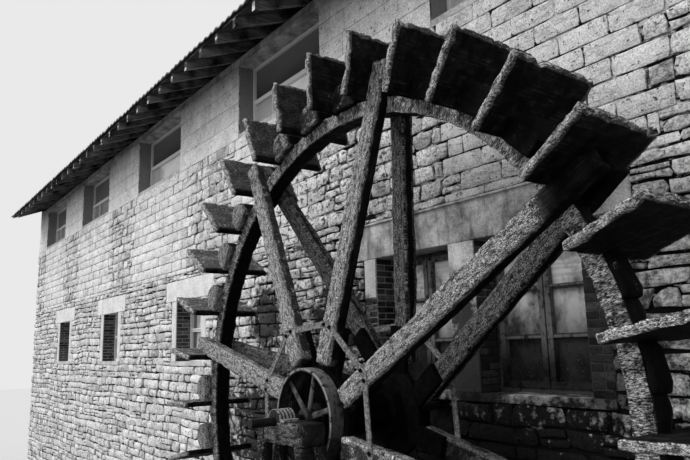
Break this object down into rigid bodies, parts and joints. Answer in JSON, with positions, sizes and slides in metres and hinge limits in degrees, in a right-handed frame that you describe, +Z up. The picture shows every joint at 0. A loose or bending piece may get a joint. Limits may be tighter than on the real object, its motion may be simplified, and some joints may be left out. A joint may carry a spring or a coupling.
{
  "type": "watermill",
  "caption": "Long stone mill house with a low pitched roof and a large timber paddle wheel turning on its front wall.",
  "frame": {"origin": "middle of the whole object in plan, at the foot of the walls", "axes": "+X along the front wall, to the right seen from the wheel's side; +Y from the wheel's side into the house; +Z up"},
  "size_m": [29, 12.21, 11.6402],
  "materials": {
    "rubble_stone": "matte",
    "blockwork": "matte",
    "concrete": "matte",
    "brick": "matte",
    "window_timber": "satin",
    "window_glass": "gloss",
    "roof_timber": "matte",
    "boards": "matte",
    "roof_tile": "matte",
    "wet_timber": "satin",
    "stand_timber": "matte",
    "cast_iron": "satin",
    "forged_iron": "satin"
  },
  "bodies": {
    "mill": {"front_wall_lower": "rubble_stone", "front_wall_upper": "blockwork", "back_wall_lower": "rubble_stone", "back_wall_upper": "blockwork", "left_gable": "rubble_stone", "right_gable": "rubble_stone", "eaves_beams": "concrete", "ground_floor": "concrete", "upper_floor": "boards", "lower_lintels": "concrete", "wheel_lintel": "concrete", "window_sills": "concrete", "brick_jambs": "brick", "lower_window_frames": "window_timber", "lower_window_glass": "window_glass", "upper_window_frames": "window_timber", "upper_window_glass": "window_glass", "wheel_window_frames": "window_timber", "wheel_window_glass": "window_glass", "wall_plates": "roof_timber", "ridge_beam": "roof_timber", "rafters": "roof_timber", "front_deck": "boards", "back_deck": "boards", "front_tiles": "roof_tile", "back_tiles": "roof_tile", "ridge_tiles": "roof_tile", "bearing_pier": "rubble_stone", "bearing_trestle": "stand_timber", "bearing_block": "stand_timber", "bearing_cap": "cast_iron", "wall_bearing_block": "stand_timber", "wall_bearing_cap": "cast_iron"},
    "wheel": {"axle": "wet_timber", "near_gudgeon": "forged_iron", "far_gudgeon": "forged_iron", "near_hub": "cast_iron", "far_hub": "cast_iron", "near_spokes": "wet_timber", "far_spokes": "wet_timber", "rim": "wet_timber", "paddles": "wet_timber", "paddle_blocks": "wet_timber", "tie_rings": "forged_iron", "belt_pulley": "cast_iron"}
  },
  "joints": [
    {"name": "wheel_turn", "type": "hinge", "parent": "mill", "child": "wheel", "pos_m": [5.65, -4.925, 3.75], "axis": [0, 1, 0], "continuous": true}
  ]
}
